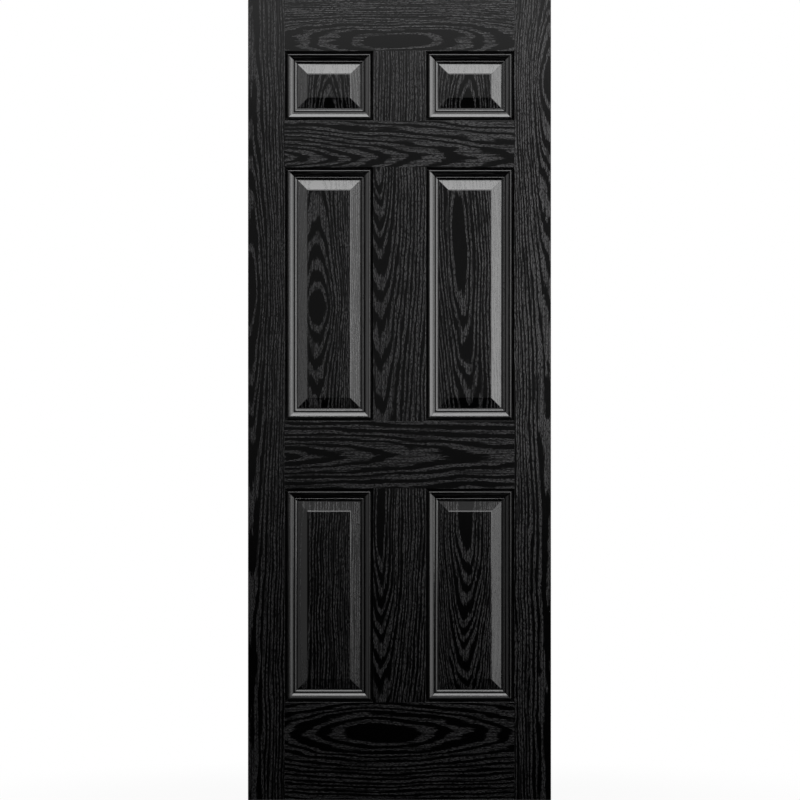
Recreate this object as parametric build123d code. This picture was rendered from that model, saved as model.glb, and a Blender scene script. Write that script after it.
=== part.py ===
"""Six-panel moulded front door leaf: two textured skins bonded over a timber frame and a foam core.

Millimetres, +Z up. The origin is the middle of the leaf's bottom edge. The street side faces -Y,
and left and right are as seen from the street.
"""

import os

from build123d import *

# Leaf
LEAF_WIDTH = 762.0
LEAF_HEIGHT = 2032.0
LEAF_THICKNESS = 44.0
EDGE_CHAMFER = 1.0

# Boards moulded on each face: two stiles, four rails and the muntins between the panels
STILE_FACE = 92.5
MUNTIN_FACE = 132.5
TOP_RAIL_FACE = 138.5
FRIEZE_RAIL_FACE = 117.0
LOCK_RAIL_FACE = 170.5
BOTTOM_RAIL_FACE = 256.0

# Panel openings: the middle pair takes the height that is left
TOP_PANEL_HEIGHT = 175.0
LOWER_PANEL_HEIGHT = 537.0

# Fine line moulded where two boards meet
JOINT_LINE_WIDTH = 0.8
JOINT_LINE_DEPTH = 0.8

# Moulding round each panel, from the opening's edge inwards: widths along the face
QUIRK_WALL = 1.2
QUIRK_FLOOR = 5.8
BEAD_BACK = 2.5
OVOLO_WIDTH = 12.7
SMALL_QUIRK_WALL = 0.6
SMALL_QUIRK_FLOOR = 2.0
SMALL_BEAD_BACK = 0.5
SMALL_OVOLO_WIDTH = 4.9
VALLEY_FLOOR = 2.6
BEVEL_WIDTH = 23.2
FIELD_STEP = 1.5

# Moulding depths below the boards: both quirks are deepest at their outer walls, and both ovolos bulge
QUIRK_DEPTH = 9.6
QUIRK_RISE = 5.4
BEAD_DEPTH = 1.2
OVOLO_DEPTH = 7.0
SMALL_QUIRK_DEPTH = 10.8
SMALL_QUIRK_RISE = 1.8
SMALL_BEAD_DEPTH = 8.8
VALLEY_DEPTH = 11.6
BEVEL_TOP_DEPTH = 4.4
FIELD_DEPTH = 3.0
OVOLO_BULGE = 0.6
SMALL_OVOLO_BULGE = 0.4

# Skins
SKIN_THICKNESS = 2.0

# Frame between the skins
LIPPING_THICKNESS = 3.0
STILE_WIDTH = 45.0
TOP_RAIL_HEIGHT = 60.0
BOTTOM_RAIL_HEIGHT = 120.0

# Blocks of solid timber behind the lock, one on each stile so that the leaf can be hung either way
LOCK_HEIGHT = 1000.0
LOCK_BLOCK_HEIGHT = 500.0
LOCK_BLOCK_SETBACK = 5.0

# Overrun of every cut past the faces that it clears
CUT_OVERRUN = 5.0

HALF_WIDTH = LEAF_WIDTH / 2
HALF_THICKNESS = LEAF_THICKNESS / 2
FRAME_FACE = HALF_THICKNESS - SKIN_THICKNESS
SKIN_LAP = 2 * SKIN_THICKNESS
SKIN_DEPTH = VALLEY_DEPTH + SKIN_LAP


def block(low, high):
    """Solid box between two opposite corners."""
    sides = [b - a for a, b in zip(low, high)]
    return Pos(*low) * Box(*sides, align=(Align.MIN, Align.MIN, Align.MIN))


def panel_columns():
    """Left and right edges of the two columns of openings."""
    inner = MUNTIN_FACE / 2
    outer = HALF_WIDTH - STILE_FACE
    return [(-outer, -inner), (inner, outer)]


def panel_rows():
    """Bottom and top edges of the three rows of openings, from the floor up."""
    lower = (BOTTOM_RAIL_FACE, BOTTOM_RAIL_FACE + LOWER_PANEL_HEIGHT)
    top_edge = LEAF_HEIGHT - TOP_RAIL_FACE
    top = (top_edge - TOP_PANEL_HEIGHT, top_edge)
    middle = (lower[1] + LOCK_RAIL_FACE, top[0] - FRIEZE_RAIL_FACE)
    return [lower, middle, top]


def closed_face(lines):
    """Face inside a closed run of lines and arcs."""
    return make_face([edge for line in lines for edge in line.edges()])


def moulding_sections():
    """Sections of the hollows in front of a skin's visible face and in front of its back.

    Local X runs inwards from the opening's edge and local Y is the depth below the boards. The
    back of the skin is the visible line offset by the skin's thickness, but it runs straight past
    the small bead.

    Returns:
        The two sections and the distance from the opening's edge to the flat field.
    """
    edge = Vector(0, 0)
    quirk_outer = Vector(QUIRK_WALL, QUIRK_DEPTH)
    quirk_inner = quirk_outer + Vector(QUIRK_FLOOR, -QUIRK_RISE)
    bead = Vector(quirk_inner.X + BEAD_BACK, BEAD_DEPTH)
    bead_shoulder = Vector(quirk_inner.X, BEAD_DEPTH + BEAD_BACK)
    ovolo_foot = Vector(bead.X + OVOLO_WIDTH, OVOLO_DEPTH)
    small_quirk_outer = Vector(ovolo_foot.X + SMALL_QUIRK_WALL, SMALL_QUIRK_DEPTH)
    small_quirk_inner = small_quirk_outer + Vector(SMALL_QUIRK_FLOOR, -SMALL_QUIRK_RISE)
    small_bead = Vector(small_quirk_inner.X + SMALL_BEAD_BACK, SMALL_BEAD_DEPTH)
    small_ovolo_foot = Vector(small_bead.X + SMALL_OVOLO_WIDTH, VALLEY_DEPTH)
    valley = small_ovolo_foot + Vector(VALLEY_FLOOR, 0)
    bevel_top = Vector(valley.X + BEVEL_WIDTH, BEVEL_TOP_DEPTH)
    field = Vector(bevel_top.X + FIELD_STEP, FIELD_DEPTH)

    reach = 2 * SKIN_LAP
    behind = VALLEY_DEPTH + reach
    board = edge - Vector(reach, 0)
    middle = field + Vector(reach, 0)
    outer_lines = [
        Polyline(board, edge, quirk_outer, quirk_inner, bead_shoulder),
        TangentArc(bead, bead_shoulder, tangent=(-1, 0)),
        SagittaArc(bead, ovolo_foot, -OVOLO_BULGE),
        Polyline(ovolo_foot, small_quirk_outer, small_quirk_inner),
    ]
    bead_lines = [
        Line(small_quirk_inner, small_bead),
        SagittaArc(small_bead, small_ovolo_foot, -SMALL_OVOLO_BULGE),
    ]
    inner_lines = [
        Polyline(small_ovolo_foot, valley, bevel_top, field, middle),
        Polyline(middle, Vector(middle.X, behind), Vector(board.X, behind), board),
    ]
    skin_and_core = closed_face(outer_lines + bead_lines + inner_lines)
    plain = closed_face(outer_lines + [Line(small_quirk_inner, small_ovolo_foot)] + inner_lines)
    core = offset(plain, -SKIN_THICKNESS, kind=Kind.INTERSECTION)

    window_width = field.X + 2 * SKIN_LAP
    window_height = SKIN_DEPTH + CUT_OVERRUN
    window = Pos(-SKIN_LAP, -CUT_OVERRUN) * Rectangle(
        window_width, window_height, align=(Align.MIN, Align.MIN)
    )
    return window - skin_and_core, window - core, field.X


def panel_hollow(column, row, section, field_inset, field_depth):
    """Hollow in front of one moulded panel: the section mitred round the opening, and the field."""
    left, right = column
    bottom, top = row
    face = -HALF_THICKNESS
    centre = ((left + right) / 2, face, (bottom + top) / 2)
    route = Plane(origin=centre, x_dir=(1, 0, 0), z_dir=(0, -1, 0)) * Rectangle(right - left, top - bottom)
    sill = Plane(origin=(centre[0], face, bottom), x_dir=(0, 0, 1), z_dir=(-1, 0, 0))
    surround = sweep(sill * section, path=route.wire(), transition=Transition.RIGHT)
    field = block(
        (left + field_inset, face - CUT_OVERRUN, bottom + field_inset),
        (right - field_inset, face + field_depth, top - field_inset),
    )
    return surround + field


def face_hollows(section, field_inset, field_depth):
    """The six panel hollows of the street face."""
    places = [(column, row) for column in panel_columns() for row in panel_rows()]
    return [panel_hollow(column, row, section, field_inset, field_depth) for column, row in places]


def joint_lines():
    """V-shaped lines where the rails meet the stiles and the muntins meet the rails."""
    half = JOINT_LINE_WIDTH / 2
    face = -HALF_THICKNESS
    outer = HALF_WIDTH - STILE_FACE
    rows = panel_rows()
    rail_edges = [0, *[edge for row in rows for edge in row], LEAF_HEIGHT]
    vee = Polygon((-half, 0), (half, 0), (0, JOINT_LINE_DEPTH), align=None)
    lines = []
    for bottom, top in zip(rail_edges[::2], rail_edges[1::2]):
        for x in (-outer, outer):
            foot = Plane(origin=(x, face, bottom), x_dir=(1, 0, 0), z_dir=(0, 0, 1))
            lines.append(extrude(foot * vee, top - bottom))
    for z in [edge for row in rows for edge in row]:
        foot = Plane(origin=(-MUNTIN_FACE / 2, face, z), x_dir=(0, 0, -1), z_dir=(1, 0, 0))
        lines.append(extrude(foot * vee, MUNTIN_FACE))
    return lines


def moulded_skin(visible_hollows, core_hollows):
    """Street skin: an even shell that follows the boards, the mouldings and the raised fields."""
    face = -HALF_THICKNESS
    blank = block((-HALF_WIDTH, face, 0), (HALF_WIDTH, face + SKIN_DEPTH, LEAF_HEIGHT))
    long_arrises = blank.edges().filter_by(Axis.Z).group_by(Axis.Y)[0]
    blank = chamfer(long_arrises, EDGE_CHAMFER)
    backing = block(
        (-HALF_WIDTH - CUT_OVERRUN, face + SKIN_THICKNESS, -CUT_OVERRUN),
        (HALF_WIDTH + CUT_OVERRUN, face + SKIN_DEPTH + CUT_OVERRUN, LEAF_HEIGHT + CUT_OVERRUN),
    )
    return blank - visible_hollows - joint_lines() - (backing - core_hollows)


def frame_pieces():
    """Lippings, stiles, rails and lock blocks that lie between the two skins."""
    lipping_inner = HALF_WIDTH - LIPPING_THICKNESS
    stile_inner = lipping_inner - STILE_WIDTH
    block_inner = HALF_WIDTH - STILE_FACE + LOCK_BLOCK_SETBACK
    block_bottom = LOCK_HEIGHT - LOCK_BLOCK_HEIGHT / 2
    block_top = LOCK_HEIGHT + LOCK_BLOCK_HEIGHT / 2
    pieces = {
        "top_rail": block(
            (-stile_inner, -FRAME_FACE, LEAF_HEIGHT - TOP_RAIL_HEIGHT),
            (stile_inner, FRAME_FACE, LEAF_HEIGHT),
        ),
        "bottom_rail": block((-stile_inner, -FRAME_FACE, 0), (stile_inner, FRAME_FACE, BOTTOM_RAIL_HEIGHT)),
        "right_stile": block((stile_inner, -FRAME_FACE, 0), (lipping_inner, FRAME_FACE, LEAF_HEIGHT)),
        "right_edge_lipping": block((lipping_inner, -FRAME_FACE, 0), (HALF_WIDTH, FRAME_FACE, LEAF_HEIGHT)),
        "right_lock_block": block(
            (block_inner, -FRAME_FACE, block_bottom), (stile_inner, FRAME_FACE, block_top)
        ),
    }
    for name in ("stile", "edge_lipping", "lock_block"):
        pieces[f"left_{name}"] = Rot(Z=180) * pieces[f"right_{name}"]
    return pieces


def foam_core(core_hollows, frame):
    """Foam that fills the frame up to the backs of both skins."""
    stile_inner = HALF_WIDTH - LIPPING_THICKNESS - STILE_WIDTH
    filling = block(
        (-stile_inner, -FRAME_FACE, BOTTOM_RAIL_HEIGHT),
        (stile_inner, FRAME_FACE, LEAF_HEIGHT - TOP_RAIL_HEIGHT),
    )
    house_hollows = [Rot(Z=180) * hollow for hollow in core_hollows]
    return filling - core_hollows - house_hollows - [frame["left_lock_block"], frame["right_lock_block"]]


def leaf():
    """Every piece of the leaf by name."""
    visible_section, core_section, field_inset = moulding_sections()
    visible_hollows = face_hollows(visible_section, field_inset, FIELD_DEPTH)
    core_hollows = face_hollows(core_section, field_inset + SKIN_THICKNESS, FIELD_DEPTH + SKIN_THICKNESS)
    outer_skin = moulded_skin(visible_hollows, core_hollows)
    frame = frame_pieces()
    return {
        "outer_skin": outer_skin,
        "inner_skin": Rot(Z=180) * outer_skin,
        "foam_core": foam_core(core_hollows, frame),
        **frame,
    }


os.makedirs("parts", exist_ok=True)
for node, piece in leaf().items():
    export_step(piece, f"parts/{node}.step")
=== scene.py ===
"""Dressed model of a six-panel moulded front door leaf, with its studio and camera.

Metres, +Z up. The street side faces -Y, and left and right are as seen from the street.
"""

import logging
import math
from dataclasses import dataclass, field
from enum import Enum
from functools import partial, reduce
from typing import Callable, Iterator, Optional, Sequence, Union

import bmesh
import bpy
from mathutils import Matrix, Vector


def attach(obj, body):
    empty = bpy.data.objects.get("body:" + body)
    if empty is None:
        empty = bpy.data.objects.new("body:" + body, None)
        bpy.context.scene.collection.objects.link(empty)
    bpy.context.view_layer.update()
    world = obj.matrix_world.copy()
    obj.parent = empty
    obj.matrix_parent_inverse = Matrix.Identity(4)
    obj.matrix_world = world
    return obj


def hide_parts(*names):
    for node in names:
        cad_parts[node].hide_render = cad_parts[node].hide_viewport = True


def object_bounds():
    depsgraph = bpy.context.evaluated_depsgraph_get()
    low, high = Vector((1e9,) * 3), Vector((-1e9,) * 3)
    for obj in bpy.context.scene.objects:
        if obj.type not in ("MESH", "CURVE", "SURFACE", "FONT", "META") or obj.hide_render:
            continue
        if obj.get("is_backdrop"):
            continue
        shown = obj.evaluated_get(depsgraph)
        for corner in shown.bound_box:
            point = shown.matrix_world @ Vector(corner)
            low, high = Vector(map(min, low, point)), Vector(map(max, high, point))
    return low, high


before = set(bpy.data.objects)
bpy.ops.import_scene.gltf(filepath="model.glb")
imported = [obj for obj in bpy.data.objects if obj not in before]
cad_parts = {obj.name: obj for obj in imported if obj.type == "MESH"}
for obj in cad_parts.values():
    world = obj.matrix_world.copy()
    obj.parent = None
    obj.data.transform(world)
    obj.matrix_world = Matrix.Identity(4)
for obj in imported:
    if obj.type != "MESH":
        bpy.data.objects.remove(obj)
CAD_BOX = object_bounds()

LOG = logging.getLogger("door_leaf")
BODY = "root"
GRAIN_MAP = "grain"
RINGS_ATTRIBUTE = "figure_rings"
RISE_ATTRIBUTE = "figure_rise"
SHAPE_ATTRIBUTE = "figure_shape"
OPEN_ATTRIBUTE = "figure_open"
MILLIMETRE = 0.001
WHITE = (1.0, 1.0, 1.0, 1.0)

Socket = bpy.types.NodeSocket
Value = Union[float, tuple[float, ...], Socket]
Colour = tuple[float, float, float]
Point = tuple[float, float, float]
Span = tuple[float, float]
GrainPlace = tuple[Socket, Socket, Socket]


class Grain(Enum):
    """Direction in which a board's grain runs."""

    UPRIGHT = "upright"
    LEVEL = "level"


class Kind(Enum):
    """What a board is on the leaf."""

    PANEL = "panel"
    MUNTIN = "muntin"
    RAIL = "rail"
    STILE = "stile"


class Side(Enum):
    """Side of the leaf, with the sign of its direction along Y."""

    STREET = -1.0
    HOUSE = 1.0


class Element(Enum):
    """Kind of mesh element, with its select mode and the name of its list."""

    FACE = ("FACE", "faces")
    EDGE = ("EDGE", "edges")
    POINT = ("VERT", "verts")


def flat_sheet(name: str, width: float, length: float, place: Point, tilt: float = 0.0) -> bpy.types.Object:
    """Add a flat sheet at its size and place.

    Args:
        name: Name of the sheet.
        width: Size along X.
        length: Size along Y, before the sheet is tilted.
        place: Place of its middle.
        tilt: Turn about X.

    Returns:
        The sheet, with its size and place in its mesh.
    """
    bpy.ops.object.select_all(action="DESELECT")
    bpy.ops.mesh.primitive_plane_add(size=1.0, rotation=(tilt, 0.0, 0.0), location=place)
    sheet = bpy.context.object
    sheet.name = name
    sheet.data.name = name
    sheet.scale = (width, length, 1.0)
    bpy.ops.object.transform_apply(location=True, rotation=True, scale=True)
    return sheet


def pick(piece: bpy.types.Object, kind: Element, test: Callable[..., bool]) -> None:
    """Select the elements that pass a test, and nothing else, on a piece in edit mode.

    Args:
        piece: The piece.
        kind: Kind of the elements.
        test: Tells whether an element is selected.
    """
    mode, parts = kind.value
    bpy.ops.mesh.select_mode(type=mode)
    bpy.ops.mesh.select_all(action="DESELECT")
    mesh = bmesh.from_edit_mesh(piece.data)
    for part in getattr(mesh, parts):
        if test(part):
            part.select_set(True)
    mesh.select_flush_mode()
    bmesh.update_edit_mesh(piece.data)


@dataclass(frozen=True)
class Figure:
    """Growth-ring figure of one board, as if it were sawn from a log.

    The rings close round an eye, and open into arches along the grain on both sides of it.

    Attributes:
        across: Place of the eye's axis across the grain.
        along: Place of the eye's middle along the grain.
        pith: Depth of the log's pith below the face at the eye.
        ring: Width of a growth ring.
        ahead: How fast the arches close towards +Z or +X.
        behind: How fast the arches close the other way.
        drift: Sideways lean of the axis along the grain.
        seed: Number that makes the board's ragged edges its own.
        close: Power of the closing: 1 for straight vees, less for rounder ovals.
        spread: Power of the rings across the grain: over 1 they crowd away from the eye.
        blunt: Power that joins both: the higher, the blunter the tips and the straighter the sides.
        open: How far the pores open, from 0 to 1.
    """

    across: float
    along: float
    pith: float
    ring: float
    ahead: float
    behind: float
    drift: float = 0.0
    seed: float = 0.0
    close: float = 1.0
    spread: float = 1.0
    blunt: float = 2.0
    open: float = 1.0


@dataclass(frozen=True)
class Figures:
    """Growth-ring figures of all boards, from the floor up and left before right.

    Attributes:
        panels: Figures of the six panels, left column first.
        muntins: Figures of the three boards between the panels.
        rails: Figures of the four level boards.
        stiles: Figures of the two long boards.
        trim: Straight grain of the mouldings round the panels.
    """

    panels: tuple[Figure, ...] = (
        Figure(-0.2370, 0.545, 0.002, 0.0075, 0.040, 0.040, drift=0.012, seed=1.0, spread=1.2),
        Figure(-0.2075, 1.249, 0.020, 0.0067, 3.10, 3.10, seed=2.0, close=0.5, spread=1.3, blunt=1.8),
        Figure(-0.1773, 1.735, 0.022, 0.0070, 2.00, 1.80, seed=3.0, close=0.6, blunt=1.8),
        Figure(0.1672, 0.760, 0.075, 0.0029, 0.16, 0.16, seed=4.0),
        Figure(0.1510, 1.415, 0.024, 0.0066, 0.14, 0.13, drift=-0.06, seed=5.0, blunt=2.2),
        Figure(0.1723, 1.755, 0.022, 0.0070, 2.00, 1.80, seed=6.0, close=0.6, blunt=1.8),
    )
    muntins: tuple[Figure, ...] = (
        Figure(-0.0465, 0.740, 0.020, 0.0060, 0.045, 0.045, seed=7.0, close=1.2, spread=0.85),
        Figure(-0.0520, 1.700, 0.004, 0.0062, 0.14, 0.14, drift=-0.01, seed=8.0, spread=0.80, blunt=2.4),
        Figure(-0.2000, 1.800, 0.030, 0.0066, 0.06, 0.06, seed=9.0, blunt=2.6),
    )
    rails: tuple[Figure, ...] = (
        Figure(0.1785, -0.052, 0.030, 0.0112, 0.45, 0.53, seed=10.0, close=0.87, spread=1.05),
        Figure(0.8755, -0.440, 0.002, 0.0105, 0.11, 0.11, seed=11.0, spread=0.8, blunt=2.6),
        Figure(1.6270, -0.500, 0.005, 0.0060, 0.13, 0.13, seed=12.0, spread=0.6, blunt=3.0),
        Figure(1.9190, -0.004, 0.001, 0.0095, 0.026, 0.025, seed=13.0, close=1.3, spread=1.6),
    )
    stiles: tuple[Figure, ...] = (
        Figure(-0.3760, 1.290, 0.030, 0.0055, 0.95, 1.00, seed=14.0, close=0.65),
        Figure(0.3800, 1.830, 0.030, 0.0052, 1.40, 1.20, seed=15.0, close=0.65),
    )
    trim: Figure = Figure(0.12, 0.0, 0.010, 0.0070, 0.0, 0.0, seed=16.0, open=0.3)


@dataclass(frozen=True)
class Board:
    """A rectangle of the face with one run of grain."""

    kind: Kind
    left: float
    right: float
    bottom: float
    top: float
    grain: Grain
    figure: Figure

    def holds(self, x: float, z: float) -> bool:
        """Tell whether a point of the face lies on this board."""
        return self.left <= x <= self.right and self.bottom <= z <= self.top


@dataclass(frozen=True)
class Member:
    """One member of the panel moulding, from the outside in.

    Attributes:
        width: Run along the face.
        depth: Depth below the boards at its inner end.
        bulge: Height of its arc over the straight line, or 0 for a flat member.
    """

    width: float
    depth: float
    bulge: float = 0.0

    def strips(self, start_depth: float, steps: int) -> list[Span]:
        """Flat strips that follow the member.

        Args:
            start_depth: Depth at its outer end.
            steps: Number of strips of an arc.

        Returns:
            The run and the drop of each strip.
        """
        drop = self.depth - start_depth
        if not self.bulge:
            return [(self.width, drop)]
        chord = math.hypot(self.width, drop)
        slope = math.atan2(drop, self.width)
        sweep = 4 * math.atan(2 * self.bulge / chord)
        radius = chord / (2 * math.sin(sweep / 2))
        tilts = [slope + sweep * (step / steps - 0.5) for step in range(steps + 1)]
        runs = [radius * math.sin(tilt) for tilt in tilts]
        falls = [-radius * math.cos(tilt) for tilt in tilts]
        return [(runs[i + 1] - runs[i], falls[i + 1] - falls[i]) for i in range(steps)]


@dataclass(frozen=True)
class Moulding:
    """Moulding round each panel, from the opening's edge to the raised field."""

    quirk_wall: Member = Member(0.0012, 0.0096)
    quirk_floor: Member = Member(0.0058, 0.0042)
    bead_wall: Member = Member(0.0000, 0.0037)
    bead_back: Member = Member(0.0025, 0.0012, bulge=0.000732)
    ovolo: Member = Member(0.0127, 0.0070, bulge=0.0006)
    small_quirk_wall: Member = Member(0.0006, 0.0108)
    small_quirk_floor: Member = Member(0.0020, 0.0090)
    small_bead_back: Member = Member(0.0005, 0.0088)
    small_ovolo: Member = Member(0.0049, 0.0116, bulge=0.0004)
    valley: Member = Member(0.0026, 0.0116)
    bevel: Member = Member(0.0232, 0.0044)
    field_step: Member = Member(0.0019, 0.0030)
    arc_steps: int = 8

    def trim(self) -> tuple[Member, ...]:
        """Members that run along the opening as a trim.

        Returns:
            The members, from the outside in.
        """
        outer = (self.quirk_wall, self.quirk_floor, self.bead_wall, self.bead_back, self.ovolo)
        inner = (self.small_quirk_wall, self.small_quirk_floor, self.small_bead_back, self.small_ovolo)
        return (*outer, *inner, self.valley)

    def trim_width(self) -> float:
        """Width of the trim, up to the foot of the panel's bevel."""
        return sum(member.width for member in self.trim())

    def insets(self) -> Iterator[Span]:
        """Walk down the section.

        Yields:
            The run and the drop of each flat strip.
        """
        depth = 0.0
        for member in (*self.trim(), self.bevel, self.field_step):
            yield from member.strips(depth, self.arc_steps)
            depth = member.depth


@dataclass(frozen=True)
class Layout:
    """Boards and openings of one face of the leaf."""

    width: float
    height: float
    stile: float = 0.0925
    muntin: float = 0.1325
    bottom_rail: float = 0.2560
    lower_panel: float = 0.5370
    lock_rail: float = 0.1705
    frieze_rail: float = 0.1170
    top_panel: float = 0.1750
    top_rail: float = 0.1385

    def columns(self) -> list[Span]:
        """Place the two columns of openings.

        Returns:
            The left and right edges of each column.
        """
        inner = self.muntin / 2
        outer = self.width / 2 - self.stile
        return [(-outer, -inner), (inner, outer)]

    def rows(self) -> list[Span]:
        """Place the three rows of openings.

        Returns:
            The bottom and top edges of each row, from the floor up.
        """
        lower = (self.bottom_rail, self.bottom_rail + self.lower_panel)
        top_edge = self.height - self.top_rail
        top = (top_edge - self.top_panel, top_edge)
        middle = (lower[1] + self.lock_rail, top[0] - self.frieze_rail)
        return [lower, middle, top]

    def openings(self) -> list[tuple[float, float, float, float]]:
        """Left, right, bottom and top of the six openings, left column first, from the floor up."""
        return [(*column, *row) for column in self.columns() for row in self.rows()]

    def boards(self, figures: Figures) -> list[Board]:
        """Stiles, rails, muntins and panels with their figures.

        Args:
            figures: The growth-ring figure of each board.

        Returns:
            The panels first, then the boards round them.
        """
        half = self.width / 2
        outer = half - self.stile
        inner = self.muntin / 2
        lower, middle, top = self.rows()
        boards = [
            Board(Kind.PANEL, *opening, Grain.UPRIGHT, figure)
            for opening, figure in zip(self.openings(), figures.panels)
        ]
        boards += [
            Board(Kind.MUNTIN, -inner, inner, *row, Grain.UPRIGHT, figure)
            for row, figure in zip(self.rows(), figures.muntins)
        ]
        rail_edges = [(0.0, lower[0]), (lower[1], middle[0]), (middle[1], top[0]), (top[1], self.height)]
        boards += [
            Board(Kind.RAIL, -outer, outer, *edges, Grain.LEVEL, figure)
            for edges, figure in zip(rail_edges, figures.rails)
        ]
        stile_edges = [(-half, -outer), (outer, half)]
        boards += [
            Board(Kind.STILE, *edges, 0.0, self.height, Grain.UPRIGHT, figure)
            for edges, figure in zip(stile_edges, figures.stiles)
        ]
        return boards


class NodeBench:
    """Short calls that add and link the nodes of one material or world."""

    def __init__(self, owner: Union[bpy.types.Material, bpy.types.World]) -> None:
        """Clear the nodes of a material or world.

        Args:
            owner: The material or world.
        """
        self.owner = owner
        owner.use_nodes = True
        self.tree = owner.node_tree
        self.tree.nodes.clear()

    @classmethod
    def for_material(cls, name: str) -> "NodeBench":
        """Start a new material."""
        return cls(bpy.data.materials.new(name))

    def put(self, socket: Socket, value: Value) -> None:
        """Link an output to a socket, or set the socket's own value.

        Args:
            socket: The input.
            value: The output or the value.
        """
        if isinstance(value, Socket):
            self.tree.links.new(value, socket)
        else:
            socket.default_value = value

    def node(self, kind: str, settings: Optional[dict[str, str]] = None, **inputs: Value) -> bpy.types.Node:
        """Add a node.

        Args:
            kind: Node type.
            settings: Properties of the node.
            inputs: Values of its inputs, named with _ for a space.

        Returns:
            The node.
        """
        made = self.tree.nodes.new(kind)
        for key, value in (settings or {}).items():
            setattr(made, key, value)
        for key, value in inputs.items():
            self.put(made.inputs[key.replace("_", " ")], value)
        return made

    def math(self, operation: str, *values: Value) -> Socket:
        """Add a Math node.

        Args:
            operation: What it does.
            values: Its inputs, in order.

        Returns:
            Its output.
        """
        made = self.node("ShaderNodeMath", {"operation": operation})
        for socket, value in zip(made.inputs, values):
            self.put(socket, value)
        return made.outputs[0]

    def add(self, *values: Value) -> Socket:
        """Add values up."""
        return reduce(partial(self.math, "ADD"), values)

    def times(self, *values: Value) -> Socket:
        """Multiply values."""
        return reduce(partial(self.math, "MULTIPLY"), values)

    def step(self, value: Value, low: float, high: float) -> Socket:
        """Rise smoothly from 0 at low to 1 at high."""
        smooth = {"interpolation_type": "SMOOTHSTEP"}
        return self.node("ShaderNodeMapRange", smooth, Value=value, From_Min=low, From_Max=high).outputs[0]

    def vector(self, x: Value, y: Value, z: Value) -> Socket:
        """Combine three values."""
        return self.node("ShaderNodeCombineXYZ", X=x, Y=y, Z=z).outputs[0]

    def split(self, vector: Socket) -> list[Socket]:
        """Separate a vector's three values."""
        return list(self.node("ShaderNodeSeparateXYZ", Vector=vector).outputs)

    def attribute(self, name: str) -> list[Socket]:
        """Read the three values of an attribute of the faces."""
        return self.split(self.node("ShaderNodeAttribute", {"attribute_name": name}).outputs["Vector"])

    def places(self) -> list[Socket]:
        """Read the three object coordinates of the shaded point."""
        return self.split(self.node("ShaderNodeTexCoord").outputs["Object"])

    def scaled(self, values: Sequence[Socket], scales: Point) -> Socket:
        """Combine three values, each times its own scale."""
        return self.vector(*[self.times(value, scale) for value, scale in zip(values, scales)])

    def stretched(self, place: GrainPlace, scales: Span) -> Socket:
        """Combine the places along and across the grain, each times its own scale, and the board's seed."""
        along, across, seed = place
        return self.vector(self.times(along, scales[0]), self.times(across, scales[1]), seed)

    def noise(self, vector: Socket, detail: float = 2.0, roughness: float = 0.5) -> Socket:
        """Noise between 0 and 1, with a grain of about one unit of the vector."""
        made = self.node("ShaderNodeTexNoise", Vector=vector, Scale=1.0, Detail=detail, Roughness=roughness)
        return made.outputs["Fac"]

    def centred(self, vector: Socket, detail: float = 2.0, roughness: float = 0.5) -> Socket:
        """Noise about zero."""
        return self.math("SUBTRACT", self.noise(vector, detail, roughness), 0.5)

    def blend(self, factor: Value, low: Value, high: Value) -> Socket:
        """Mix two numbers.

        Args:
            factor: Share of the second.
            low: The first.
            high: The second.

        Returns:
            The mixed number.
        """
        made = self.node("ShaderNodeMix", {"data_type": "FLOAT"})
        for index, value in ((0, factor), (2, low), (3, high)):
            self.put(made.inputs[index], value)
        return made.outputs[0]

    def tint(self, factor: Value, low: Union[Colour, Socket], high: Union[Colour, Socket]) -> Socket:
        """Mix two colours.

        Args:
            factor: Share of the second.
            low: The first.
            high: The second.

        Returns:
            The mixed colour.
        """
        made = self.node("ShaderNodeMix", {"data_type": "RGBA"})
        self.put(made.inputs[0], factor)
        for index, colour in ((6, low), (7, high)):
            self.put(made.inputs[index], colour if isinstance(colour, Socket) else (*colour, 1.0))
        return made.outputs[2]

    def seen(self) -> Socket:
        """Tell the rays of sight from those that only carry light.

        Returns:
            1 for the camera's rays and those of reflections and transmission, and 0 for the others.
        """
        path = self.node("ShaderNodeLightPath")
        seen = path.outputs["Is Camera Ray"]
        for other in ("Is Glossy Ray", "Is Transmission Ray"):
            seen = self.math("MAXIMUM", seen, path.outputs[other])
        return seen

    def close(self, shader: Socket) -> None:
        """Link the last shader to the output.

        Args:
            shader: The shader.
        """
        kind = "World" if isinstance(self.owner, bpy.types.World) else "Material"
        output = self.node(f"ShaderNodeOutput{kind}")
        self.put(output.inputs["Surface"], shader)

    def surface(
        self, colour: Socket, roughness: Value, height: Socket, relief: float, shine: float = 0.5
    ) -> bpy.types.Material:
        """Close the material with a shader and its relief.

        Args:
            colour: Base colour.
            roughness: Roughness.
            height: Relief between 0 and 1.
            relief: Depth of the relief.
            shine: Specular level.

        Returns:
            The finished material.
        """
        shader = self.node("ShaderNodeBsdfPrincipled", Base_Color=colour, Roughness=roughness)
        shader.inputs["Specular IOR Level"].default_value = shine
        bump = self.node("ShaderNodeBump", Height=height, Strength=1.0, Distance=relief)
        self.put(shader.inputs["Normal"], bump.outputs[0])
        self.close(shader.outputs[0])
        return self.owner


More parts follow.
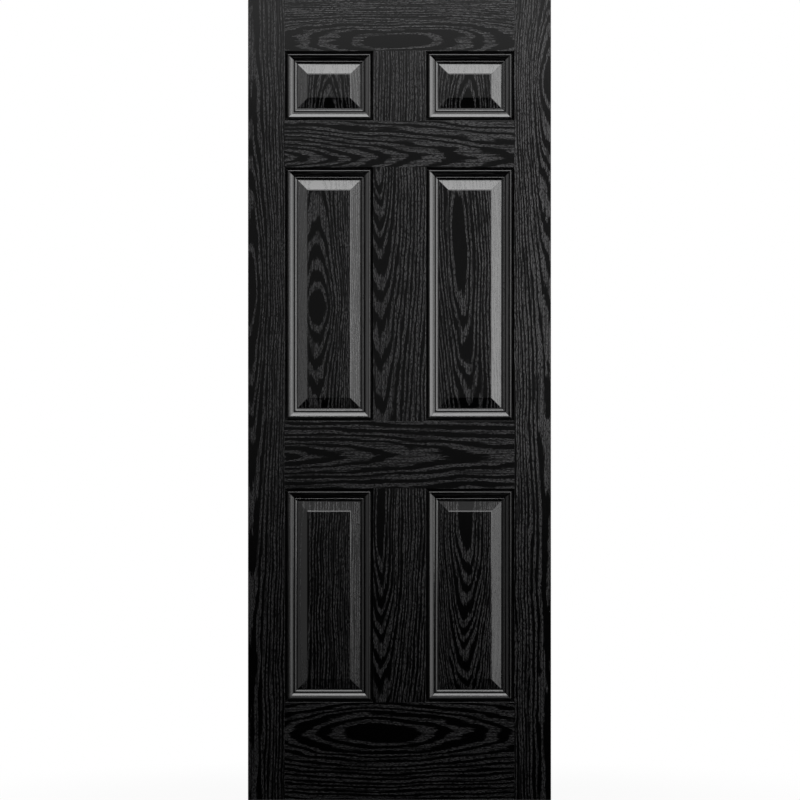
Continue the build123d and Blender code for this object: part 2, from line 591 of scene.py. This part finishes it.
@dataclass(frozen=True)
class GrainedSkin:
    """Black moulded skin with an embossed open-pored wood grain.

    Smooth summer wood is dark and glossy. Porous spring wood is greyer and rougher, and lies lower. Scales
    come as along and across the grain, and edges as where a change starts and where it ends.

    Attributes:
        name: Name of the material.
        smooth: Colour of smooth wood.
        porous: Colour of porous wood.
        roughness: Roughness of smooth and of porous wood.
        shine: Specular level.
        relief: Depth of the relief.
        relief_shares: Shares of the porous bands and of the single pores in the relief.
        eye: Half length of the rounding where the arches of both ends meet.
        far: Distance along the grain over which the arches stop closing.
        spread_unit: Distance across the grain at which the figure's spread changes nothing.
        wander_scales: Scales of the slow bends of the grain.
        wander: Width of these bends.
        waver_scales: Scales of the rings' ragged run.
        waver: Height of that run in rings, in the eye and outside.
        uneven_scale: Scale of the change of width from ring to ring.
        uneven: Height of that change in rings.
        eye_edge: Ring counts of the eye's edge.
        comb_scales: Scales of the teeth along the porous bands.
        comb: Height of the teeth in rings, in the arches and in straight grain.
        half_band: Half width of a porous band in rings, in the arches and in straight grain.
        band_edge: Half width of a band's soft edge in rings.
        straight_edge: Distances from the eye where arches give way to straight grain.
        core_edge: Ring counts where the smooth core of the eye ends.
        pore_scales: Scales of the single pores.
        pore_edge: Noise at the edge of a pore.
        pore_floor: How porous the wood between the pores is.
        fibre_scales: Scales of the long fibres.
        fibre_edge: Noise at the edge of a fibre.
        fibre_floor: How porous the wood between the fibres is.
        stray_edge: Noise at the edge of a stray pore in smooth wood.
        stray: How porous a stray pore is.
        slow_detail: Detail of the noise of bends and ring widths.
        fine_roughness: Roughness of the noise of teeth and pores.
    """

    name: str = "grained_skin"
    smooth: Colour = (0.0012, 0.0012, 0.0013)
    porous: Colour = (0.0480, 0.0475, 0.0490)
    roughness: Span = (0.13, 0.28)
    shine: float = 0.75
    relief: float = 0.00010
    relief_shares: Span = (0.55, 0.45)
    eye: float = 0.003
    far: float = 0.600
    spread_unit: float = 0.060
    wander_scales: Span = (4.0, 6.0)
    wander: float = 0.022
    waver_scales: Span = (9.0, 55.0)
    waver: Span = (0.3, 1.1)
    uneven_scale: float = 0.6
    uneven: float = 1.5
    eye_edge: Span = (0.4, 1.6)
    comb_scales: Span = (45.0, 480.0)
    comb: Span = (0.50, 0.34)
    half_band: Span = (0.20, 0.265)
    band_edge: float = 0.045
    straight_edge: Span = (0.025, 0.075)
    core_edge: Span = (0.45, 0.60)
    pore_scales: Span = (110.0, 430.0)
    pore_edge: Span = (0.38, 0.58)
    pore_floor: float = 0.20
    fibre_scales: Span = (7.0, 260.0)
    fibre_edge: Span = (0.40, 0.52)
    fibre_floor: float = 0.35
    stray_edge: Span = (0.68, 0.76)
    stray: float = 0.25
    slow_detail: float = 1.0
    fine_roughness: float = 0.6

    def material(self) -> bpy.types.Material:
        """Build the material from the grain map and the figure attributes.

        Returns:
            The material.
        """
        bench = NodeBench.for_material(self.name)
        place, distance, rings = self._rings(bench)
        porous, pores = self._pores(bench, place, distance, rings)
        colour = bench.tint(porous, self.smooth, self.porous)
        roughness = bench.blend(porous, *self.roughness)
        band_share, pore_share = self.relief_shares
        hollow = bench.add(bench.times(porous, band_share), bench.times(pores, pore_share))
        height = bench.math("SUBTRACT", 1.0, hollow)
        return bench.surface(colour, roughness, height, self.relief, self.shine)

    def _rings(self, bench: NodeBench) -> tuple[GrainPlace, Socket, Socket]:
        """Count the growth rings from the eye of the figure.

        Args:
            bench: The material's bench.

        Returns:
            The place in the grain, the distance from the eye and the ring count.
        """
        grain = bench.node("ShaderNodeUVMap", {"uv_map": GRAIN_MAP}).outputs[0]
        along, straight, _ = bench.split(grain)
        pith, ring, seed = bench.attribute(RINGS_ATTRIBUTE)
        ahead, behind, drift = bench.attribute(RISE_ATTRIBUTE)
        close, spread, blunt = bench.attribute(SHAPE_ATTRIBUTE)
        place = (along, straight, seed)

        # Distance from the eye: how far across the grain, and how far the arches have closed along it
        wander = bench.centred(bench.stretched(place, self.wander_scales), self.slow_detail)
        lean = bench.times(along, drift)
        across = bench.add(bench.math("SUBTRACT", straight, lean), bench.times(wander, self.wander))
        rise = bench.blend(bench.math("GREATER_THAN", along, 0.0), behind, ahead)
        held = bench.times(bench.math("TANH", bench.times(along, 1.0 / self.far)), self.far)
        run = bench.math("SQRT", bench.add(bench.times(held, held), self.eye ** 2))
        reach = bench.math("POWER", bench.times(run, 1.0 / MILLIMETRE), close)
        start = bench.math("POWER", self.eye / MILLIMETRE, close)
        depth = bench.times(bench.math("SUBTRACT", reach, start), rise, MILLIMETRE)
        apart = bench.times(bench.math("ABSOLUTE", across), 1.0 / self.spread_unit)
        aside = bench.times(bench.math("POWER", apart, spread), self.spread_unit)
        side = bench.math("POWER", aside, blunt)
        arch = bench.math("POWER", depth, blunt)
        distance = bench.math("POWER", bench.add(side, arch), bench.math("DIVIDE", 1.0, blunt))

        # Rings that the saw has crossed on its way from the pith, with a ragged and uneven run
        slant = bench.math("SQRT", bench.add(bench.times(pith, pith), bench.times(distance, distance)))
        count = bench.math("DIVIDE", bench.math("SUBTRACT", slant, pith), ring)
        waver = bench.centred(bench.stretched(place, self.waver_scales))
        widths = bench.vector(bench.times(count, self.uneven_scale), seed, 0.0)
        uneven = bench.centred(widths, self.slow_detail)
        outside = bench.step(count, *self.eye_edge)
        ripple = bench.times(waver, bench.blend(outside, *self.waver))
        rings = bench.add(count, ripple, bench.times(uneven, outside, self.uneven))
        return place, distance, rings

    def _pores(
        self, bench: NodeBench, place: GrainPlace, distance: Socket, rings: Socket
    ) -> tuple[Socket, Socket]:
        """Part each ring into porous and smooth wood.

        Args:
            bench: The material's bench.
            place: Place in the grain.
            distance: Distance from the eye.
            rings: Ring count.

        Returns:
            How porous the wood is, and the single pores in it.
        """
        # Bands lie round whole ring counts, and their edges are toothed
        from_band = bench.math("PINGPONG", rings, 0.5)
        comb = bench.centred(bench.stretched(place, self.comb_scales), roughness=self.fine_roughness)
        straight = bench.step(distance, *self.straight_edge)
        half_band = bench.blend(straight, *self.half_band)
        ragged = bench.times(comb, bench.blend(straight, *self.comb))
        inside = bench.add(bench.math("SUBTRACT", half_band, from_band), ragged)
        core = bench.step(rings, *self.core_edge)
        band = bench.times(bench.step(inside, -self.band_edge, self.band_edge), core)

        # Pores and fibres break the bands up, and a few stray pores lie outside them
        fine = bench.noise(bench.stretched(place, self.pore_scales), roughness=self.fine_roughness)
        speckle = bench.blend(bench.step(fine, *self.pore_edge), self.pore_floor, 1.0)
        streaks = bench.noise(bench.stretched(place, self.fibre_scales))
        fibres = bench.blend(bench.step(streaks, *self.fibre_edge), self.fibre_floor, 1.0)
        opened = bench.node("ShaderNodeAttribute", {"attribute_name": OPEN_ATTRIBUTE}).outputs["Fac"]
        pores = bench.times(band, speckle, fibres, opened)
        stray = bench.times(bench.step(fine, *self.stray_edge), self.stray, opened)
        porous = bench.math("MAXIMUM", pores, stray)
        return porous, pores


@dataclass(frozen=True)
class LaminatedTimber:
    """Raw laminated veneer: thin layers with dark glue lines.

    Attributes:
        name: Name of the material.
        pale: Colour of the palest wood.
        dark: Colour of the darkest wood.
        glue: Colour of the glue.
        veneer: Thickness of a layer.
        fibre_scales: Scales of the fibres, which change from layer to layer.
        fibre_noise: Detail and roughness of the fibres' noise.
        shade_scales: Scales of the shades, which change from layer to layer.
        shares: Shares of fibres and shades in the colour.
        glue_edge: Where a glue line ends, in layers from its middle.
        roughness: Roughness between and on the fibres.
        relief: Depth of the relief.
    """

    name: str = "laminated_timber"
    pale: Colour = (0.60, 0.42, 0.24)
    dark: Colour = (0.40, 0.25, 0.13)
    glue: Colour = (0.10, 0.055, 0.03)
    veneer: float = 0.0032
    fibre_scales: Point = (160.0, 3.7, 160.0)
    fibre_noise: Span = (4.0, 0.7)
    shade_scales: Point = (9.0, 5.3, 9.0)
    shares: Span = (0.6, 0.5)
    glue_edge: Span = (0.035, 0.10)
    roughness: Span = (0.62, 0.85)
    relief: float = 0.0003

    def material(self) -> bpy.types.Material:
        """Build the material on object coordinates, with the layers stacked through the leaf.

        Returns:
            The material.
        """
        bench = NodeBench.for_material(self.name)
        x, y, z = bench.places()
        layer = bench.math("DIVIDE", y, self.veneer)
        place = (x, bench.math("FLOOR", layer), z)
        fibre = bench.noise(bench.scaled(place, self.fibre_scales), *self.fibre_noise)
        shade = bench.noise(bench.scaled(place, self.shade_scales))
        mottle = bench.add(bench.times(fibre, self.shares[0]), bench.times(shade, self.shares[1]))
        wood = bench.tint(mottle, self.dark, self.pale)
        line = bench.step(bench.math("PINGPONG", layer, 0.5), *self.glue_edge)
        colour = bench.tint(line, self.glue, wood)
        roughness = bench.blend(fibre, *self.roughness)
        return bench.surface(colour, roughness, bench.times(line, fibre), self.relief)


@dataclass(frozen=True)
class SpeckledSolid:
    """Solid matter with specks or cells all through it.

    Attributes:
        name: Name of the material.
        low: Colour in the middle of a speck.
        high: Colour between the specks.
        speck: Size of a speck.
        roughness: Roughness in and between the specks.
        relief: Depth of the relief.
        cloud_share: Scale of the clouds, as a share of the specks' scale.
        cloud_detail: Detail of the clouds' noise.
        shares: Shares of specks and clouds in the colour.
    """

    name: str
    low: Colour
    high: Colour
    speck: float
    roughness: Span
    relief: float
    cloud_share: float = 0.15
    cloud_detail: float = 4.0
    shares: Span = (0.6, 0.5)

    def material(self) -> bpy.types.Material:
        """Build the material on object coordinates.

        Returns:
            The material.
        """
        bench = NodeBench.for_material(self.name)
        place = bench.node("ShaderNodeTexCoord").outputs["Object"]
        cells = bench.node("ShaderNodeTexVoronoi", Vector=place, Scale=1.0 / self.speck).outputs["Distance"]
        scale = self.cloud_share / self.speck
        noise = bench.node("ShaderNodeTexNoise", Vector=place, Scale=scale, Detail=self.cloud_detail)
        clouds = noise.outputs["Fac"]
        mottle = bench.add(bench.times(cells, self.shares[0]), bench.times(clouds, self.shares[1]))
        colour = bench.tint(mottle, self.low, self.high)
        return bench.surface(colour, bench.blend(mottle, *self.roughness), mottle, self.relief)


@dataclass(frozen=True)
class DrawnEdging:
    """Black extruded edging with fine lines along its length.

    Attributes:
        name: Name of the material.
        low: Darkest colour.
        high: Palest colour.
        line_scales: Scales of the drawn lines.
        haze_scales: Scales of the haze over them.
        detail: Detail of the noise of both.
        shares: Shares of lines and haze in the colour.
        roughness: Roughness out of and in the haze.
        relief: Depth of the lines.
    """

    name: str = "drawn_edging"
    low: Colour = (0.008, 0.008, 0.0085)
    high: Colour = (0.016, 0.016, 0.017)
    line_scales: Point = (900.0, 900.0, 3.0)
    haze_scales: Point = (60.0, 60.0, 20.0)
    detail: float = 3.0
    shares: Span = (0.5, 0.5)
    roughness: Span = (0.34, 0.52)
    relief: float = 0.00006

    def material(self) -> bpy.types.Material:
        """Build the material on object coordinates, drawn along Z.

        Returns:
            The material.
        """
        bench = NodeBench.for_material(self.name)
        place = bench.places()
        lines = bench.noise(bench.scaled(place, self.line_scales), self.detail)
        haze = bench.noise(bench.scaled(place, self.haze_scales), self.detail)
        mottle = bench.add(bench.times(lines, self.shares[0]), bench.times(haze, self.shares[1]))
        colour = bench.tint(mottle, self.low, self.high)
        return bench.surface(colour, bench.blend(haze, *self.roughness), lines, self.relief)


@dataclass
class MouldedSkin:
    """One moulded skin of the leaf, pressed from a flat sheet.

    Attributes:
        layout: Boards and openings of the face.
        moulding: Section round each panel.
        figures: Grain of the boards.
        face: Place of the street face along Y.
        wall: Thickness of the skin.
        rounding: Radius of the arrises.
        segments: Number of strips across an arris or a joint line.
        arris_angle: Least angle of an edge that is rounded.
        smooth_angle: Greatest angle of an edge that is shaded round.
        joint_width: Width of the line where two boards meet.
        joint_depth: Depth of that line.
        touch: Distance within which two places are the same.
        made: The piece.
    """

    layout: Layout
    moulding: Moulding
    figures: Figures
    face: float
    wall: float = 0.0020
    rounding: float = 0.0005
    segments: int = 2
    arris_angle: float = math.radians(18.0)
    smooth_angle: float = math.radians(60.0)
    joint_width: float = 0.0008
    joint_depth: float = 0.0008
    touch: float = 0.00002
    made: Optional[bpy.types.Object] = field(default=None, init=False)

    def build(self, name: str) -> bpy.types.Object:
        """Press the skin.

        Args:
            name: Name of the piece.

        Returns:
            The piece, in place at the street side.
        """
        middle = (0.0, self.face, self.layout.height / 2)
        self.made = flat_sheet(name, self.layout.width, self.layout.height, middle, tilt=math.pi / 2)
        bpy.ops.object.mode_set(mode="EDIT")
        self._cut_boards()
        self._press_panels()
        bpy.ops.object.mode_set(mode="OBJECT")
        self._thicken()
        self._score_joints()
        self._even_shading()
        self._map_grain()
        return self.made

    def _cut_boards(self) -> None:
        """Cut the sheet along the edges of the boards."""
        uprights = [edge for column in self.layout.columns() for edge in column]
        levels = [edge for row in self.layout.rows() for edge in row]
        cuts = [((x, 0.0, 0.0), (1.0, 0.0, 0.0)) for x in uprights]
        cuts += [((0.0, 0.0, z), (0.0, 0.0, 1.0)) for z in levels]
        for place, normal in cuts:
            bpy.ops.mesh.select_all(action="SELECT")
            bpy.ops.mesh.bisect(plane_co=place, plane_no=normal)

    def _press_panels(self) -> None:
        """Press the moulding and the raised field into the six openings, member by member."""
        openings = self.layout.openings()

        def in_opening(face: bmesh.types.BMFace) -> bool:
            """Tell whether a face lies in an opening."""
            middle = face.calc_center_median()
            return any(
                left < middle.x < right and bottom < middle.z < top for left, right, bottom, top in openings
            )

        pick(self.made, Element.FACE, in_opening)
        for run, drop in self.moulding.insets():
            bpy.ops.mesh.inset(thickness=run, depth=-drop, use_even_offset=True)

    def _thicken(self) -> None:
        """Give the sheet its wall and round its arrises."""
        wall = self.made.modifiers.new("wall", "SOLIDIFY")
        wall.thickness = self.wall
        wall.offset = -1.0
        wall.use_even_offset = True
        arris = self.made.modifiers.new("arris", "BEVEL")
        arris.width = self.rounding
        arris.segments = self.segments
        arris.limit_method = "ANGLE"
        arris.angle_limit = self.arris_angle
        arris.use_clamp_overlap = False
        bpy.ops.object.modifier_apply(modifier=wall.name)
        bpy.ops.object.modifier_apply(modifier=arris.name)

    def _on_joint(self, x: float, z: float) -> bool:
        """Tell whether a point of the face lies on a line where two boards meet.

        Args:
            x: Place across the leaf.
            z: Height.

        Returns:
            True on such a line.
        """
        inner, outer = self.layout.columns()[1]
        rows = self.layout.rows()
        beside_panel = any(bottom + self.touch < z < top - self.touch for bottom, top in rows)
        on_stile = abs(abs(x) - outer) < self.touch and not beside_panel
        level = any(abs(z - edge) < self.touch for row in rows for edge in row)
        return on_stile or (level and abs(x) < inner + self.touch)

    def _score_joints(self) -> None:
        """Score the fine lines between the boards."""

        def on_face(point: bmesh.types.BMVert) -> bool:
            """Tell whether a point lies on the street face."""
            return abs(point.co.y - self.face) < self.touch

        def is_joint(edge: bmesh.types.BMEdge) -> bool:
            """Tell whether an edge of the face runs along a joint."""
            middle = (edge.verts[0].co + edge.verts[1].co) / 2
            return all(on_face(point) for point in edge.verts) and self._on_joint(middle.x, middle.z)

        def in_joint(point: bmesh.types.BMVert) -> bool:
            """Tell whether a point of the face lies on a joint."""
            return on_face(point) and self._on_joint(point.co.x, point.co.z)

        bpy.ops.object.mode_set(mode="EDIT")
        pick(self.made, Element.EDGE, is_joint)
        bpy.ops.mesh.bevel(
            offset=self.joint_width / 2,
            segments=self.segments,
            affect="EDGES",
            clamp_overlap=False,
            loop_slide=False,
        )
        pick(self.made, Element.POINT, in_joint)
        bpy.ops.transform.translate(value=(0.0, self.joint_depth, 0.0))
        bpy.ops.object.mode_set(mode="OBJECT")

    def _even_shading(self) -> None:
        """Shade the arrises round and the flats flat."""
        bpy.ops.object.shade_smooth_by_angle(angle=self.smooth_angle)
        even = self.made.modifiers.new("even", "WEIGHTED_NORMAL")
        even.keep_sharp = True
        bpy.ops.object.modifier_apply(modifier=even.name)

    def _trim_side(self, board: Board, x: float, z: float) -> Optional[Grain]:
        """Direction of the trim at a point of a panel opening.

        Args:
            board: The panel.
            x: Place across the leaf.
            z: Height.

        Returns:
            The direction in which the trim runs there, or None on the panel itself.
        """
        sideways = min(x - board.left, board.right - x)
        upright = min(z - board.bottom, board.top - z)
        if min(sideways, upright) > self.moulding.trim_width():
            return None
        return Grain.UPRIGHT if sideways < upright else Grain.LEVEL

    def _grain_at(self, boards: list[Board], x: float, z: float) -> tuple[Figure, Grain]:
        """Find the grain at a point of the face.

        Args:
            boards: The boards of the face.
            x: Place across the leaf.
            z: Height.

        Returns:
            The figure there and the direction of its grain.
        """
        board = next((found for found in boards if found.holds(x, z)), boards[-1])
        side = self._trim_side(board, x, z) if board.kind is Kind.PANEL else None
        return (board.figure, board.grain) if side is None else (self.figures.trim, side)

    def _map_grain(self) -> None:
        """Lay the grain over the face: a map of places along and across it, and each board's figure."""
        mesh = self.made.data
        if GRAIN_MAP not in mesh.uv_layers:
            mesh.uv_layers.new(name=GRAIN_MAP)
        for other in [found for found in mesh.uv_layers if found.name != GRAIN_MAP]:
            mesh.uv_layers.remove(other)
        names = (RINGS_ATTRIBUTE, RISE_ATTRIBUTE, SHAPE_ATTRIBUTE, OPEN_ATTRIBUTE)
        for name in names:
            mesh.attributes.new(name, "FLOAT" if name == OPEN_ATTRIBUTE else "FLOAT_VECTOR", "FACE")
        rings, rise, shape, opened = [mesh.attributes[name] for name in names]
        layer = mesh.uv_layers[GRAIN_MAP]
        boards = self.layout.boards(self.figures)
        for face in mesh.polygons:
            figure, grain = self._grain_at(boards, face.center.x, face.center.z)
            rings.data[face.index].vector = (figure.pith, figure.ring, figure.seed)
            rise.data[face.index].vector = (figure.ahead, figure.behind, figure.drift)
            shape.data[face.index].vector = (figure.close, figure.spread, figure.blunt)
            opened.data[face.index].value = figure.open
            for corner in face.loop_indices:
                point = mesh.vertices[mesh.loops[corner].vertex_index].co
                run, aside = (point.z, point.x) if grain is Grain.UPRIGHT else (point.x, point.z)
                layer.uv[corner].vector = (run - figure.along, aside - figure.across)

    def turned_copy(self, name: str) -> bpy.types.Object:
        """Copy the skin to the house side, turned half round.

        Args:
            name: Name of the copy.

        Returns:
            The copy, with its own mesh.
        """
        bpy.ops.object.select_all(action="DESELECT")
        self.made.select_set(True)
        bpy.context.view_layer.objects.active = self.made
        bpy.ops.object.duplicate(linked=False)
        copy = bpy.context.object
        copy.name = name
        copy.data.name = name
        copy.rotation_euler = (0.0, 0.0, math.pi)
        bpy.ops.object.transform_apply(location=True, rotation=True, scale=True)
        return copy


@dataclass(frozen=True)
class Leaf:
    """The whole leaf: two skins, and the frame and core between them.

    Attributes:
        skin_slot: Slot of the record that the skins take their finish from; not used.
        setback: Distance of the skins' faces behind those of the leaf's box.
        skin_finish: Finish of both skins.
        timber: Finish of the stiles, the top rail and the lock blocks.
        composite: Finish of the bottom rail.
        foam: Finish of the core.
        edging: Finish of the lippings.
    """

    skin_slot: str = "skin"
    setback: float = 0.000001
    skin_finish: GrainedSkin = GrainedSkin()
    timber: LaminatedTimber = LaminatedTimber()
    composite: SpeckledSolid = SpeckledSolid(
        name="wood_composite",
        low=(0.07, 0.048, 0.034),
        high=(0.20, 0.15, 0.11),
        speck=0.0012,
        roughness=(0.6, 0.8),
        relief=0.0002,
    )
    foam: SpeckledSolid = SpeckledSolid(
        name="rigid_foam",
        low=(0.62, 0.50, 0.28),
        high=(0.86, 0.76, 0.52),
        speck=0.0009,
        roughness=(0.8, 0.95),
        relief=0.0003,
    )
    edging: DrawnEdging = DrawnEdging()

    def build(self) -> list[bpy.types.Object]:
        """Model the skins and give every piece its finish.

        Returns:
            All the pieces of the leaf.
        """
        low, high = CAD_BOX
        layout = Layout(width=high[0] - low[0], height=high[2] - low[2])
        skin = MouldedSkin(layout, Moulding(), Figures(), face=low[1] + self.setback)
        outer = skin.build("outer_skin_moulding")
        inner = skin.turned_copy("inner_skin_moulding")
        finish = self.skin_finish.material()
        for piece, node in ((outer, "outer_skin"), (inner, "inner_skin")):
            piece.data.materials.clear()
            piece.data.materials.append(finish)
            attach(piece, BODY)
            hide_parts(node)
        return [outer, inner, *self._dress_frame()]

    def _dress_frame(self) -> list[bpy.types.Object]:
        """Give the pieces between the skins their finishes.

        Returns:
            These pieces.
        """
        timbers = ("left_stile", "right_stile", "top_rail", "left_lock_block", "right_lock_block")
        lippings = ("left_edge_lipping", "right_edge_lipping")
        finishes = dict.fromkeys(timbers, self.timber.material())
        finishes["bottom_rail"] = self.composite.material()
        finishes["foam_core"] = self.foam.material()
        finishes |= dict.fromkeys(lippings, self.edging.material())
        for node, finish in finishes.items():
            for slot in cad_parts[node].material_slots:
                slot.link = "OBJECT"
                slot.material = finish
        return [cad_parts[node] for node in finishes]


@dataclass(frozen=True)
class Softbox:
    """A soft lamp with a grid that faces a point of the leaf.

    Attributes:
        name: Name of the lamp.
        place: Place of its middle on the street side.
        target: Point that it faces.
        width: Level size.
        height: Upright size.
        radiance: Brightness of its face, where 1 is white.
        grid: Greatest angle at which light leaves it.
    """

    name: str
    place: Point
    target: Point
    width: float
    height: float
    radiance: float
    grid: float = math.radians(38.0)

    def hang(self, side: Side) -> None:
        """Hang the lamp, turned half round the leaf for the house side.

        Args:
            side: Side of the leaf.
        """
        name = f"{side.name.lower()}_{self.name}"
        lamp = bpy.data.lights.new(name, "AREA")
        lamp.shape = "RECTANGLE"
        lamp.size = self.width
        lamp.size_y = self.height
        lamp.spread = 2 * self.grid
        gathered = math.tan(self.grid) / (math.tan(self.grid) - self.grid)
        lamp.energy = self.radiance * math.pi * self.width * self.height / gathered
        hung = bpy.data.objects.new(name, lamp)
        bpy.context.scene.collection.objects.link(hung)
        turn = -side.value
        aim = [b - a for a, b in zip(self.place, self.target)]
        flat = math.hypot(aim[0], aim[1])
        hung.location = (turn * self.place[0], turn * self.place[1], self.place[2])
        hung.rotation_euler = (math.atan2(flat, -aim[2]), 0.0, math.atan2(-turn * aim[0], turn * aim[1]))
        hung.visible_camera = False


@dataclass(frozen=True)
class Studio:
    """Pale floor, dark sweeps, soft lamps, white background and the camera.

    Attributes:
        picture_width: Width of the picture at the leaf.
        aim: Point in the middle of the picture.
        lens: Focal length in millimetres.
        sensor: Width of the camera's sensor in millimetres.
        camera_reach: Greatest distance that the camera sees.
        floor_size: Length of the floor's sides.
        floor_grey: Grey of the floor for the light that it throws back.
        floor_white: Share of plain white in the floor's look near the leaf, which leaves it a shadow.
        floor_fade: Distances from the leaf between which the floor turns plain white.
        sweep_start: Distance of the sweeps' near edges from the leaf's middle.
        sweep_reach: Distance of their far walls.
        sweep_width: Distance between their side walls.
        sweep_top: Height of their walls.
        sweep_lift: Height of their floors.
        sweep_glow: Steps of the sweeps' glow: the heights between which each comes in, and its level.
        ambient: Level of the even light from all round.
        lamps: Lamps of the street side: one above, and the others to the viewer's right and left.
    """

    picture_width: float = 2.0119
    aim: Point = (0.00126, -0.022, 1.016)
    lens: float = 200.0
    sensor: float = 36.0
    camera_reach: float = 100.0
    floor_size: float = 8.0
    floor_grey: float = 0.8
    floor_white: float = 0.94
    floor_fade: Span = (0.4, 1.5)
    sweep_start: float = 0.024
    sweep_reach: float = 3.4
    sweep_width: float = 9.0
    sweep_top: float = 3.6
    sweep_lift: float = 0.01
    sweep_glow: tuple[tuple[float, float, float], ...] = ((0.2, 1.4, 0.095), (1.85, 2.35, 0.32))
    ambient: float = 0.05
    lamps: tuple[Softbox, ...] = (
        Softbox("top", (0.0, -2.0, 3.45), (0.0, 0.0, 1.65), 3.2, 1.4, 5.6),
        Softbox("side", (1.80, -0.5, 1.31), (0.0, 0.0, 1.31), 0.8, 1.58, 3.0),
        Softbox("right_high", (1.10, -1.0, 1.51), (0.35, 0.0, 1.51), 0.70, 1.32, 4.8),
        Softbox("right_low", (1.10, -1.0, 0.475), (0.35, 0.0, 0.475), 0.70, 0.75, 2.0),
        Softbox("inner_high", (0.74, -1.4, 1.51), (0.0, 0.0, 1.51), 0.36, 1.32, 1.5),
        Softbox("inner_low", (0.74, -1.4, 0.475), (0.0, 0.0, 0.475), 0.36, 0.75, 0.32),
        Softbox("left_high", (-1.15, -1.0, 1.51), (-0.40, 0.0, 1.51), 0.60, 1.32, 0.85),
        Softbox("left_low", (-1.15, -1.0, 0.475), (-0.40, 0.0, 0.475), 0.60, 0.75, 0.40),
    )

    def set_up(self) -> None:
        """Build the studio round the leaf."""
        self._floor()
        for side in Side:
            self._sweep(side)
            for lamp in self.lamps:
                lamp.hang(side)
        self._world()
        self._camera()
        bpy.context.scene.view_settings.view_transform = "Standard"

    def _floor(self) -> None:
        """Lay the pale floor: white to sight with the leaf's shadow, and matt to the lamps' light."""
        floor = flat_sheet("floor", self.floor_size, self.floor_size, (0.0, 0.0, 0.0))
        bench = NodeBench.for_material("pale_floor")
        x, y, _ = bench.places()
        away = bench.math("SQRT", bench.add(bench.times(x, x), bench.times(y, y)))
        faded = bench.blend(bench.step(away, *self.floor_fade), self.floor_white, 1.0)
        grey = (self.floor_grey, self.floor_grey, self.floor_grey, 1.0)
        matt = bench.node("ShaderNodeBsdfDiffuse", Color=grey)
        white = bench.node("ShaderNodeEmission", Color=WHITE, Strength=1.0)
        mixed = bench.node("ShaderNodeMixShader")
        shares = (bench.times(bench.seen(), faded), matt.outputs[0], white.outputs[0])
        for socket, value in zip(mixed.inputs, shares):
            bench.put(socket, value)
        bench.close(mixed.outputs[0])
        floor.data.materials.append(bench.owner)
        floor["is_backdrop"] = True

    def _sweep(self, side: Side) -> None:
        """Stand a dark cloth sweep with three walls on one side of the leaf, so that its gloss stays dark.

        Args:
            side: Side of the leaf.
        """
        depth = self.sweep_reach - self.sweep_start
        middle = (0.0, side.value * (self.sweep_start + depth / 2), self.sweep_lift)
        sweep = flat_sheet(f"{side.name.lower()}_sweep", self.sweep_width, depth, middle)

        def bears_wall(edge: bmesh.types.BMEdge) -> bool:
            """Tell whether an edge reaches past the sweep's middle, as all but the near edge do."""
            return any(abs(point.co.y) > abs(middle[1]) for point in edge.verts)

        bpy.ops.object.mode_set(mode="EDIT")
        pick(sweep, Element.EDGE, bears_wall)
        bpy.ops.mesh.extrude_region_move(TRANSFORM_OT_translate={"value": (0.0, 0.0, self.sweep_top)})
        bpy.ops.object.mode_set(mode="OBJECT")
        bench = NodeBench.for_material(f"{sweep.name}_cloth")
        _, _, height = bench.places()
        glows = [bench.times(bench.step(height, low, high), level) for low, high, level in self.sweep_glow]
        cloth = bench.node("ShaderNodeEmission", Color=WHITE, Strength=bench.add(*glows))
        bench.close(cloth.outputs[0])
        sweep.data.materials.append(bench.owner)
        sweep.visible_camera = False
        sweep.visible_shadow = False
        sweep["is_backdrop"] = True

    def _world(self) -> None:
        """Make the background white to sight, with a little even light."""
        world = bpy.data.worlds.new("studio")
        bpy.context.scene.world = world
        bench = NodeBench(world)
        level = bench.blend(bench.seen(), self.ambient, 1.0)
        bench.close(bench.node("ShaderNodeBackground", Color=WHITE, Strength=level).outputs[0])

    def _camera(self) -> None:
        """Stand the camera far in front of the leaf, level with its middle."""
        lens = bpy.data.cameras.new("camera")
        lens.lens = self.lens
        lens.sensor_width = self.sensor
        lens.clip_end = self.camera_reach
        camera = bpy.data.objects.new("camera", lens)
        bpy.context.scene.collection.objects.link(camera)
        away = self.picture_width * self.lens / self.sensor
        camera.location = (self.aim[0], self.aim[1] - away, self.aim[2])
        camera.rotation_euler = (math.pi / 2, 0.0, 0.0)
        bpy.context.scene.camera = camera


def write_sizes() -> None:
    """Gather the CAD box and the dressed box side by side."""
    boxes = {"cad": CAD_BOX, "visual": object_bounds()}
    lists = {name: [[float(v) for v in corner] for corner in box] for name, box in boxes.items()}


def main() -> None:
    """Dress the leaf and set up the studio."""
    logging.basicConfig(level=logging.INFO, format="%(name)s: %(message)s")
    for piece in Leaf().build():
        LOG.info("%s: %d faces", piece.name, len(piece.data.polygons))
    Studio().set_up()
    write_sizes()


if __name__ == "__main__":
    main()
